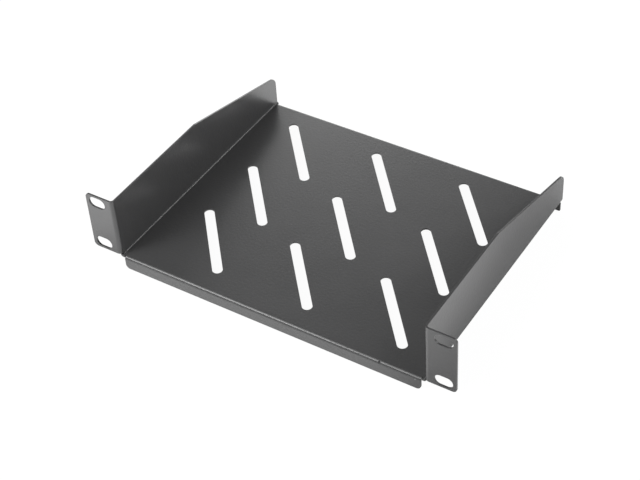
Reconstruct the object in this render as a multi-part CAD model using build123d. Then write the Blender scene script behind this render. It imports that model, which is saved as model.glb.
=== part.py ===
# Vented shelf, one unit high, for a ten-inch rack: one steel sheet, cut and folded.
# Millimetres. X runs across the rack, Y from the panel to the rear, Z up.
# The origin is the middle of the four rack slots, on the back face of the ears.
import os

from build123d import *

# Sheet
sheet = 1.2                 # thickness of the steel
inside_bend = 1.0           # inside radius of the folds along the floor
inside_ear_bend = 1.5       # inside radius of the ears' folds
slit = 0.3                  # width of the cuts that free the folds from each other

# Panel: the two ears that lie on the rack rails
panel_width = 253.0         # over both ears
panel_height = 42.0         # one rack unit, less the play between neighbours
ear_corner = 2.8            # radius of the ears' outer corners
rack_span = 236.525         # rack slots, middle to middle across the rack
rack_rise = 31.75           # rack slots, middle to middle in height
rack_slot_length = 11.8
rack_slot_height = 7.6

# Tray: floor and side walls
tray_width = 214.4          # over the outsides of the walls
depth = 175.0               # front face of the ears to the rear lip
floor_drop = 1.8            # underside of the floor below the lower edge of the ears
fold_setback = 0.6          # the side folds start this far behind the front face of the ears
wall_level = 86.0           # level part of the walls' top edge, from the front
wall_knee = 3.0             # radius where the top edge starts to fall
wall_overhang = 0.5         # the walls run on this far past the rear lip
wall_rear_height = 21.9     # wall at the rear end, over the underside of the floor
wall_rear_corner = 6.8      # radius of the walls' rear top corner

# Lips: the floor's front and rear edges, folded down
front_lip_length = 207.5
front_lip_height = 8.9      # from the top face of the floor to the lip's edge
front_lip_corner = 3.0      # radius of the lower corners
rear_lip_length = 213.0
rear_lip_height = 8.4
rear_lip_corner = 0.5

# Vents: slanted slots through the floor
vent_columns = 3
vent_rows = 3
vent_pitch_x = 64.3
vent_pitch_y = 49.25
vent_middle = 88.1          # middle of the pattern, behind the front face of the ears
vent_length = 60.2          # over the round ends
vent_width = 6.4
vent_angle = 130.2          # from +X, so that each slot runs to the rear left

# Planes and lines that the folds share
outside_bend = inside_bend + sheet
outside_ear_bend = inside_ear_bend + sheet
front = -sheet
rear = front + depth
wall_rear = rear + wall_overhang
fold_front = front + fold_setback
outer_x = tray_width / 2
inner_x = outer_x - sheet
fold_x = outer_x - outside_bend         # the side folds start here
front_fold = front + outside_bend       # the front lip starts here
ear_fold = front + outside_ear_bend     # the ears' folds start here
rear_fold = rear - outside_bend         # the rear lip starts here
ear_top = panel_height / 2
ear_bottom = -ear_top
floor_bottom = ear_bottom - floor_drop
floor_top = floor_bottom + sheet
lip_start = floor_bottom - inside_bend  # the lips are flat below this height
wall_foot = max(ear_bottom, floor_bottom + outside_bend)    # above it the walls are flat and carry the ears


def block(x, y, z):
    # box between two values along each axis
    size = Box(x[1] - x[0], y[1] - y[0], z[1] - z[0], align=(Align.MIN, Align.MIN, Align.MIN))
    return Pos(x[0], y[0], z[0]) * size


def fold(plane, width, *points, radius=inside_bend):
    # sheet that lies to the right of the inside line of its folds
    inside = FilletPolyline(*points, radius=radius)
    section = make_face(offset(inside, sheet, side=Side.RIGHT, closed=True))
    return extrude(plane * section, width)


def make_tray():
    # floor and walls as one channel, cut to the outline that the walls have from the side,
    # with a slit that runs below each ear's fold and turns up behind it to the foot of the wall
    channel = fold(Plane.XZ.offset(-wall_rear), wall_rear - fold_front,
                   (-inner_x, ear_top), (-inner_x, floor_top), (inner_x, floor_top), (inner_x, ear_top))
    slit_level = ear_bottom - slit
    slit_end = ear_fold + slit
    rear_top = floor_bottom + wall_rear_height
    outline = make_face(Polyline(
        (fold_front, floor_bottom), (fold_front, slit_level), (slit_end, slit_level), (slit_end, wall_foot),
        (ear_fold, wall_foot), (ear_fold, ear_top), (front + wall_level, ear_top),
        (wall_rear, rear_top), (wall_rear, floor_bottom), close=True))
    knee = outline.vertices().sort_by_distance((front + wall_level, ear_top, 0))[0]
    outline = fillet(knee, wall_knee)
    corner = outline.vertices().sort_by_distance((wall_rear, rear_top, 0))[0]
    outline = fillet(corner, wall_rear_corner)
    return channel & extrude(Plane.YZ * outline, outer_x, both=True)


def make_lip(length, corner, *points):
    # floor's edge folded down, with its lower corners rounded
    lip = fold(Plane.YZ.offset(-length / 2), length, *points)
    return fillet(lip.edges().filter_by(Axis.Y).group_by(Axis.Z)[0], corner)


def add_front_lip(shelf):
    # the lip is narrower than the floor, which runs on beside it up to the walls
    end = front_lip_length / 2 + slit
    seam = front_fold + slit
    gap = block((-end, end), (front, seam), (floor_bottom, floor_top))
    edge = floor_top - front_lip_height
    lip = make_lip(front_lip_length, front_lip_corner, (seam, floor_bottom), (0, floor_bottom), (0, edge))
    return shelf - gap + lip


def add_rear_lip(shelf):
    # the fold ends between the side folds, and the flat of the lip reaches out below them
    seam = rear_fold - slit
    gap = block((-fold_x, fold_x), (seam, wall_rear), (floor_bottom, floor_top))
    edge = floor_top - rear_lip_height
    inner = rear - sheet
    lip = make_lip(rear_lip_length, rear_lip_corner, (inner, edge), (inner, floor_bottom), (seam, floor_bottom))
    shoulder = block((fold_x - slit, outer_x), (seam, rear), (lip_start, floor_top))
    return shelf - gap + (lip - shoulder - mirror(shoulder, about=Plane.YZ))


def make_ear():
    # right ear, folded outwards from the front edge of its wall: the fold's line starts in the wall,
    # and what it holds of the wall is cut off again
    ear = fold(Plane.XY.offset(ear_bottom), panel_height,
               (outer_x, ear_fold + sheet), (outer_x, 0), (panel_width / 2, 0), radius=inside_ear_bend)
    ear = fillet(ear.edges().filter_by(Axis.Y).group_by(Axis.X)[-1], ear_corner)
    return ear - block((inner_x, outer_x), (ear_fold, ear_fold + sheet), (ear_bottom, ear_top))


def make_rack_slots():
    slots = GridLocations(rack_span, rack_rise, 2, 2) * SlotOverall(rack_slot_length, rack_slot_height)
    return [extrude(Plane.XZ * slot, sheet) for slot in slots]


def make_vents():
    grid = GridLocations(vent_pitch_x, vent_pitch_y, vent_columns, vent_rows)
    slots = grid * SlotOverall(vent_length, vent_width, rotation=vent_angle)
    floor = Plane.XY.offset(floor_bottom)
    return [extrude(Pos(0, front + vent_middle, 0) * floor * slot, sheet) for slot in slots]


ear = make_ear()
shelf = make_tray() + ear + mirror(ear, about=Plane.YZ)
shelf = add_rear_lip(add_front_lip(shelf))
shelf = shelf - make_vents() - make_rack_slots()

os.makedirs("parts", exist_ok=True)
export_step(shelf, "parts/folded_shelf.step")
print("folded_shelf", round(shelf.volume), "mm3,", round(shelf.volume * 7.85e-6, 3), "kg of steel")
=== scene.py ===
# Vented one-unit rack shelf in black powder coat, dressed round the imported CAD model.
# Metres, in the model's frame: X across the rack, Y from the panel to the rear, Z up.
import math
from functools import partial

import bmesh
import bpy
from mathutils import Matrix, Vector


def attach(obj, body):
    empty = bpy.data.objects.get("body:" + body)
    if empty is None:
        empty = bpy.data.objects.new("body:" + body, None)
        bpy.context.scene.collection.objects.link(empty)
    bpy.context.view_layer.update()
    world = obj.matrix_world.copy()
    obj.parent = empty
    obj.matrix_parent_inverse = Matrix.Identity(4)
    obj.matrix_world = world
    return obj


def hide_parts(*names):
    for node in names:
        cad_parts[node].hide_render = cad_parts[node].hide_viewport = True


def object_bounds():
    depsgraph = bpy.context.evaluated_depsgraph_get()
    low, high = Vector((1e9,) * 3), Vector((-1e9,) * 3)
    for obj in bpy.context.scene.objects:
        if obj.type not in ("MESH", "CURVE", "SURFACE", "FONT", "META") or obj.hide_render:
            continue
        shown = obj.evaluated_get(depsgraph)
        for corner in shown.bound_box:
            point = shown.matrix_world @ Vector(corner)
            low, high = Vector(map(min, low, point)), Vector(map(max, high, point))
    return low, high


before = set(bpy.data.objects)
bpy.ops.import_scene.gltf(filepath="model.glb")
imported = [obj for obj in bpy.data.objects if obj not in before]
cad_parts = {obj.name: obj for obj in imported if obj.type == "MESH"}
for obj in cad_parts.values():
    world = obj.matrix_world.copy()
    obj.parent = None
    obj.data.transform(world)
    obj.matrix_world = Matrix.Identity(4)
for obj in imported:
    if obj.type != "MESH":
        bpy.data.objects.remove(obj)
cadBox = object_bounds()
scene = bpy.context.scene
print("frame loaded", [tuple(round(v, 4) for v in corner) for corner in cadBox])


def onlyThis(piece):
    bpy.ops.object.select_all(action="DESELECT")
    piece.select_set(True)
    bpy.context.view_layer.objects.active = piece


def directionTo(turn, rise):
    # turn goes round to the right from straight in front of the panel, rise goes up, in degrees
    turn, rise = math.radians(turn), math.radians(rise)
    return Vector((math.sin(turn) * math.cos(rise), -math.cos(turn) * math.cos(rise), math.sin(rise)))


def setInputs(tree, node, inputs):
    # each input gets a value or another node's output
    for name, value in inputs.items():
        if isinstance(value, bpy.types.NodeSocket):
            tree.links.new(value, node.inputs[name])
        else:
            node.inputs[name].default_value = value


def addNode(tree, kind, output, inputs, **settings):
    node = tree.nodes.new(kind)
    for name, value in settings.items():
        setattr(node, name, value)
    setInputs(tree, node, inputs)
    return node.outputs[output]


shelf = {
    "node": "folded_shelf",
    "mergeWithin": 0.000002,  # corners of the CAD mesh closer than this become one
    "flatWithin": 0.5,        # degrees, within which its triangles join into one flat side
    "sharpFrom": 40.0,        # degrees between faces, from which a cut edge is sharp
    "edgeRound": 0.0001,      # what the powder coat rounds off the cut edges
    "edgeSteps": 3,
    "smoothTo": 30.0,         # degrees, over which the folds shade as one curve
    "flatPull": 100,          # how much the large sides set the shading where they meet small ones
    "rimHalf": 0.0007,        # a face with less width than this to its cut sides is the sheet's own edge
}


def makeShelf():
    # a merged copy of the CAD sheet
    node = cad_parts[shelf["node"]]
    piece = node.copy()
    piece.data = node.data.copy()
    piece.parent = None
    piece.name = piece.data.name = "coated_shelf"
    scene.collection.objects.link(piece)
    onlyThis(piece)
    bpy.ops.mesh.customdata_custom_splitnormals_clear()
    bpy.ops.object.mode_set(mode="EDIT")
    bpy.ops.mesh.select_all(action="SELECT")
    bpy.ops.mesh.remove_doubles(threshold=shelf["mergeWithin"])
    bpy.ops.mesh.dissolve_limited(angle_limit=math.radians(shelf["flatWithin"]))
    bpy.ops.object.mode_set(mode="OBJECT")
    return piece


def roundEdges(piece):
    # cut edges get a small round, and the sheet's own edges are marked for the coat
    mesh = piece.data
    work = bmesh.new()
    work.from_mesh(mesh)
    weight = work.edges.layers.float.new("bevel_weight_edge")
    rim = work.faces.layers.float.new("rim")
    sharp = math.radians(shelf["sharpFrom"])
    for edge in work.edges:
        if len(edge.link_faces) == 2 and edge.is_convex and edge.calc_face_angle() > sharp:
            edge[weight] = 1.0
    for face in work.faces:
        cutSides = sum(edge.calc_length() for edge in face.edges if edge[weight])
        face[rim] = 1.0 if face.calc_area() < cutSides * shelf["rimHalf"] else 0.0
    work.to_mesh(mesh)
    work.free()
    bevel = piece.modifiers.new("edgeRound", "BEVEL")
    bevel.limit_method = "WEIGHT"
    bevel.width = shelf["edgeRound"]
    bevel.segments = shelf["edgeSteps"]
    bevel.use_clamp_overlap = False
    bevel.miter_outer = "MITER_SHARP"
    onlyThis(piece)
    bpy.ops.object.modifier_apply(modifier=bevel.name)
    bpy.ops.object.shade_smooth_by_angle(angle=math.radians(shelf["smoothTo"]))
    flat = piece.modifiers.new("flatSides", "WEIGHTED_NORMAL")
    flat.mode = "FACE_AREA"
    flat.weight = shelf["flatPull"]
    flat.keep_sharp = True
    bpy.ops.object.modifier_apply(modifier=flat.name)
    print("shelf", len(piece.data.polygons), "faces")


knock = {
    "spot": 0.0767,           # across the shelf, on the fold of the front lip
    "halfWidth": 0.0007,
    "depth": 0.0005,
    "foldAxis": (0.0010, -0.0238),       # middle of the fold's round, in depth and height
    "foldRadius": 0.0022,
    "ridge": 45.0,            # degrees up from straight ahead, where the knock is deepest
    "reach": 34.0,            # degrees round the fold to each side of that
    "within": 0.00002,        # a corner this close to the round, or to a line across it, lies on it
    "fleck": (0.1001, -0.0012, -0.0238),     # a light fleck farther along, on the lip's face
    "fleckSize": 0.0007,
    "fleckEdge": (0.95, 1.2),            # where it fades, as shares of its size
    "fleckColor": (0.16, 0.16, 0.16, 1),
}


def isOnFold(out):
    # out is a point as seen from the fold's axis
    within = knock["within"]
    return out.y < within and out.z > -within and abs(out.yz.length - knock["foldRadius"]) < within


def knockFold(piece):
    # the fold gets three lines across it, and the middle one is pushed in round the ridge
    mesh = piece.data
    axis = Vector((0, *knock["foldAxis"]))
    onlyThis(piece)
    for shift in (-knock["halfWidth"], 0, knock["halfWidth"]):
        bpy.ops.object.mode_set(mode="EDIT")
        bpy.ops.mesh.select_mode(type="FACE")
        bpy.ops.mesh.select_all(action="DESELECT")
        bpy.ops.object.mode_set(mode="OBJECT")
        for face in mesh.polygons:
            face.select = all(isOnFold(mesh.vertices[i].co - axis) for i in face.vertices)
        bpy.ops.object.mode_set(mode="EDIT")
        bpy.ops.mesh.bisect(plane_co=(knock["spot"] + shift, 0, 0), plane_no=(1, 0, 0))
        bpy.ops.object.mode_set(mode="OBJECT")
    pushed = 0
    for vert in mesh.vertices:
        out = vert.co - axis
        if abs(vert.co.x - knock["spot"]) > knock["within"] or not isOnFold(out):
            continue
        out.x = 0
        turn = (math.degrees(math.atan2(out.z, -out.y)) - knock["ridge"]) / knock["reach"]
        if abs(turn) < 1:
            vert.co -= out.normalized() * knock["depth"] * (1 - turn * turn)
            pushed += 1
    print("knock", pushed, "corners pushed in")


coat = {
    "slot": "black_powder_coat",
    "dark": (0.042, 0.042, 0.0425, 1),
    "light": (0.053, 0.053, 0.054, 1),
    "grainScale": 2300.0,     # grains, waves and clouds to the metre, and how fine each is broken up
    "grainDetail": 2.0,
    "waveScale": 600.0,
    "waveDetail": 1.0,
    "cloudScale": 30.0,
    "cloudDetail": 2.0,
    "cloudSpan": (0.3, 0.7),  # the part of the noise that makes the clouds
    "thickness": (0.97, 1.03),           # how far the thick and thin of the coat shift its colour
    "grainRoughness": (0.26, 0.36),
    "cloudRoughness": (-0.01, 0.01),
    "grainDepth": 0.00003,
    "waveDepth": 0.00011,
    "relief": 0.5,            # share of those depths that shows
    "speckScale": 145.0,
    "speckReach": 0.045,      # half width of a speck, as a share of the space between two
    "speckColor": (0.068, 0.068, 0.068, 1),
    "rimColor": (0.038, 0.038, 0.0385, 1),   # the coat is thin and a little more matt on cut edges
    "rimRoughness": 0.05,
}


def powderCoat():
    material = bpy.data.materials.new("blackPowderCoat")
    material.use_nodes = True
    tree = material.node_tree
    add = partial(addNode, tree)
    place = add("ShaderNodeTexCoord", "Object", {})
    rim = add("ShaderNodeAttribute", "Fac", {}, attribute_name="rim")

    def noise(name):
        return add("ShaderNodeTexNoise", "Fac",
                   {"Vector": place, "Scale": coat[name + "Scale"], "Detail": coat[name + "Detail"]})

    def ramp(value, start, end, before, after):
        return add("ShaderNodeMapRange", "Result",
                   {"Value": value, "From Min": start, "From Max": end, "To Min": before, "To Max": after})

    def mix(factor, first, second):
        return add("ShaderNodeMix", 2, {"Factor": factor, 6: first, 7: second}, data_type="RGBA")

    def bump(height, depth, inputs):
        return add("ShaderNodeBump", "Normal",
                   {"Height": height, "Strength": coat["relief"], "Distance": depth, **inputs})

    grain, wave, cloud = noise("grain"), noise("wave"), noise("cloud")
    # colour: fine grain, broad clouds, rare specks, the fleck, and thinner at the cut edges
    color = mix(grain, coat["dark"], coat["light"])
    thickness = ramp(cloud, *coat["cloudSpan"], *coat["thickness"])
    color = add("ShaderNodeHueSaturation", "Color", {"Color": color, "Value": thickness})
    speck = add("ShaderNodeTexVoronoi", "Distance", {"Vector": place, "Scale": coat["speckScale"]})
    speck = ramp(speck, coat["speckReach"] / 2, coat["speckReach"], 1.0, 0.0)
    color = mix(speck, color, coat["speckColor"])
    fleckStart, fleckEnd = (knock["fleckSize"] * share for share in knock["fleckEdge"])
    fleck = add("ShaderNodeVectorMath", "Value", {0: place, 1: knock["fleck"]}, operation="DISTANCE")
    fleck = add("ShaderNodeMath", "Value", {0: wave, 1: knock["fleckSize"], 2: fleck},
                operation="MULTIPLY_ADD")
    fleck = ramp(fleck, fleckStart, fleckEnd, 1.0, 0.0)
    color = mix(fleck, color, knock["fleckColor"])
    color = mix(rim, color, coat["rimColor"])
    # gloss: uneven with the grain and the clouds
    gloss = add("ShaderNodeMath", "Value", {0: ramp(grain, 0.0, 1.0, *coat["grainRoughness"]),
                                            1: ramp(cloud, *coat["cloudSpan"], *coat["cloudRoughness"])})
    gloss = add("ShaderNodeMath", "Value", {0: rim, 1: coat["rimRoughness"], 2: gloss},
                operation="MULTIPLY_ADD")
    # relief: the coat's soft waves, with the grain on them
    waves = bump(wave, coat["waveDepth"], {})
    grains = bump(grain, coat["grainDepth"], {"Normal": waves})
    setInputs(tree, tree.nodes["Principled BSDF"],
              {"Base Color": color, "Roughness": gloss, "Normal": grains})
    print("coat", len(tree.nodes), "nodes")
    return material


photoCamera = {
    "turn": 34.6247,          # degrees round to the right of straight in front
    "rise": 42.2251,
    "roll": -3.9905,
    "distance": 0.90206,
    "across": (-0.031967, -0.043528),    # the lens axis, past the point it turns about
    "pivot": (0.0, -0.0012, -0.0210),
    "focalPixels": 1542.658,
    "pixelsWide": 640,
    "sensorWidth": 36.0,      # millimetres
    "nearest": 0.01,          # metres from the lens, where the view starts
}


def placeCamera():
    back = directionTo(photoCamera["turn"], photoCamera["rise"])
    right = directionTo(photoCamera["turn"] + 90, 0)
    up = back.cross(right)
    roll = math.radians(photoCamera["roll"])
    tiltedRight = right * math.cos(roll) + up * math.sin(roll)
    tiltedUp = up * math.cos(roll) - right * math.sin(roll)
    across = photoCamera["across"]
    spot = (Vector(photoCamera["pivot"]) - tiltedRight * across[0] - tiltedUp * across[1]
            + back * photoCamera["distance"])
    axes = Matrix((tiltedRight, tiltedUp, back)).transposed()
    lens = bpy.data.cameras.new("photoCamera")
    lens.sensor_fit = "HORIZONTAL"
    lens.sensor_width = photoCamera["sensorWidth"]
    lens.lens = photoCamera["focalPixels"] / photoCamera["pixelsWide"] * lens.sensor_width
    lens.clip_start = photoCamera["nearest"]
    camera = bpy.data.objects.new("photoCamera", lens)
    camera.matrix_world = Matrix.Translation(spot) @ axes.to_4x4()
    scene.collection.objects.link(camera)
    scene.camera = camera
    print("camera", [round(v, 4) for v in spot])


paleFloor = {
    "drop": 0.0002,           # it lies this far under the lips
    "size": 6.0,
    "color": (0.85, 0.85, 0.85, 1),
    "seen": (0.06, 0.06, 0.06, 1),       # its colour to the camera, which sees white with a faint shadow
    "white": 0.96,            # the rest of that white
    "near": 0.35,             # from this far from the middle it grows to full white
    "far": 1.0,
    "paintedReflectionGlow": 0.08,            # painted reflection: a glow that only the coat's reflections find, on top of the lit floor, everywhere
    # where the painted glow is stronger, or weaker as painted shadow: middle, half size, share of that
    # which fades out, value
    "paintedGlowPools": {
        "front": ((-0.05, -0.03, 0.0), (0.18, 0.20, 1.0), 0.35, 1.0),
        "paintedGlowBeyondLeftEar": ((-0.145, -0.065, 0.0), (0.07, 0.06, 1.0), 0.7, 0.6),
        # painted shadow under the ears, seen only in the coat's reflections
        "paintedShadowUnderLeftEar": ((-0.124, -0.008, 0.0), (0.03, 0.025, 1.0), 0.8, -0.6),
        "paintedShadowUnderRightEar": ((0.112, -0.010, 0.0), (0.022, 0.022, 1.0), 0.8, -0.3),
        "paintedGlowRearLeft": ((-0.05, 0.24, 0.0), (0.18, 0.16, 1.0), 0.4, 1.4),
        "right": ((0.205, 0.03, 0.0), (0.095, 0.21, 1.0), 0.3, 0.9),
    },
}


def paintFloor():
    material = bpy.data.materials.new("paleFloor")
    material.use_nodes = True
    tree = material.node_tree
    add = partial(addNode, tree)
    shader = tree.nodes["Principled BSDF"]
    place = add("ShaderNodeTexCoord", "Object", {})
    path = tree.nodes.new("ShaderNodeLightPath").outputs
    seen, mirrored = path["Is Camera Ray"], path["Is Glossy Ray"]
    color = add("ShaderNodeMix", 2, {"Factor": seen, 6: paleFloor["color"], 7: paleFloor["seen"]},
                data_type="RGBA")
    # painted reflection: the glow and painted shadow that only the coat's reflections find on the floor
    paintedReflectionGlow = paleFloor["paintedReflectionGlow"]
    for spot, reach, fading, value in paleFloor["paintedGlowPools"].values():
        offset = add("ShaderNodeVectorMath", "Vector", {0: place, 1: spot}, operation="SUBTRACT")
        scaled = add("ShaderNodeVectorMath", "Vector", {0: offset, 1: reach}, operation="DIVIDE")
        away = add("ShaderNodeVectorMath", "Value", {0: scaled}, operation="LENGTH")
        paintedPool = add("ShaderNodeMapRange", "Result",
                   {"Value": away, "From Min": 1 - fading, "From Max": 1, "To Min": value, "To Max": 0},
                   interpolation_type="SMOOTHSTEP")
        paintedReflectionGlow = add("ShaderNodeMath", "Value", {0: paintedReflectionGlow, 1: paintedPool})
    paintedReflectionGlow = add("ShaderNodeMath", "Value", {0: paintedReflectionGlow, 1: 0}, operation="MAXIMUM")
    paintedReflectionGlow = add("ShaderNodeMath", "Value", {0: paintedReflectionGlow, 1: mirrored}, operation="MULTIPLY")
    # what the camera sees there
    distance = add("ShaderNodeVectorMath", "Value", {0: place}, operation="LENGTH")
    white = add("ShaderNodeMapRange", "Result",
                {"Value": distance, "From Min": paleFloor["near"], "From Max": paleFloor["far"],
                 "To Min": paleFloor["white"], "To Max": 1.0})
    glow = add("ShaderNodeMath", "Value", {0: seen, 1: white, 2: paintedReflectionGlow}, operation="MULTIPLY_ADD")
    setInputs(tree, shader, {"Base Color": color, "Roughness": 1.0, "Specular IOR Level": 0.0,
                             "Emission Color": (1, 1, 1, 1), "Emission Strength": glow})
    # from below the camera looks through the floor at the underside
    below = add("ShaderNodeNewGeometry", "Backfacing", {})
    through = add("ShaderNodeMath", "Value", {0: seen, 1: below}, operation="MULTIPLY")
    clear = add("ShaderNodeBsdfTransparent", "BSDF", {})
    either = add("ShaderNodeMixShader", "Shader", {0: through, 1: shader.outputs["BSDF"], 2: clear})
    tree.links.new(either, tree.nodes["Material Output"].inputs["Surface"])
    return material


def makeFloor():
    bpy.ops.object.select_all(action="DESELECT")
    level = cadBox[0].z - paleFloor["drop"]
    bpy.ops.mesh.primitive_plane_add(size=paleFloor["size"], location=(0, 0, level))
    floor = bpy.context.object
    floor.name = "floor"
    floor.data.materials.append(paintFloor())
    print("floor at", round(level, 4))


studio = {
    "airGlow": 0.1,           # even light from all round
    "middle": (0.0, 0.085, -0.01),       # the lamps point here
    "distance": 1.4,
    # degrees round from straight in front, degrees up, watts, size
    "lamps": {
        "frontLeftSoftbox": (323, 40, 12.0, 0.9),
        "smallFrontLeftSoftbox": (325, 39, 4.5, 0.35),
        "highLeftSoftbox": (300, 62, 3.6, 0.9),
        "rightSoftbox": (90, 40, 8.0, 0.9),
        "rearRightSoftbox": (135, 45, 3.0, 0.9),
        "smallRearRightSoftbox": (134, 22, 4.4, 0.4),
        "lowRearLeftSoftbox": (215, 18, 6.2, 0.9),
    },
}


def lightWorld():
    # the air is white to the camera, and a dim even fill to everything else
    world = bpy.data.worlds.new("studioAir")
    scene.world = world
    world.use_nodes = True
    tree = world.node_tree
    path = tree.nodes.new("ShaderNodeLightPath").outputs
    level = addNode(tree, "ShaderNodeMapRange", "Result",
                    {"Value": path["Is Camera Ray"], "To Min": studio["airGlow"], "To Max": 1.0})
    setInputs(tree, tree.nodes["Background"], {"Color": (1, 1, 1, 1), "Strength": level})


def hangLamps():
    middle = Vector(studio["middle"])
    for name, (turn, rise, watts, size) in studio["lamps"].items():
        toward = directionTo(turn, rise)
        light = bpy.data.lights.new(name, "AREA")
        light.shape = "DISK"
        light.size = size
        light.energy = watts
        lamp = bpy.data.objects.new(name, light)
        lamp.location = middle + toward * studio["distance"]
        lamp.rotation_euler = (-toward).to_track_quat("-Z", "Y").to_euler()
        scene.collection.objects.link(lamp)
    print("lamps", len(studio["lamps"]))


piece = makeShelf()
knockFold(piece)
roundEdges(piece)
finish = powderCoat()
piece.data.materials.clear()
piece.data.materials.append(finish)
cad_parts[shelf["node"]].data.materials[0] = finish
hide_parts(shelf["node"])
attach(piece, "root")
placeCamera()
makeFloor()
lightWorld()
hangLamps()
scene.view_settings.view_transform = "Standard"
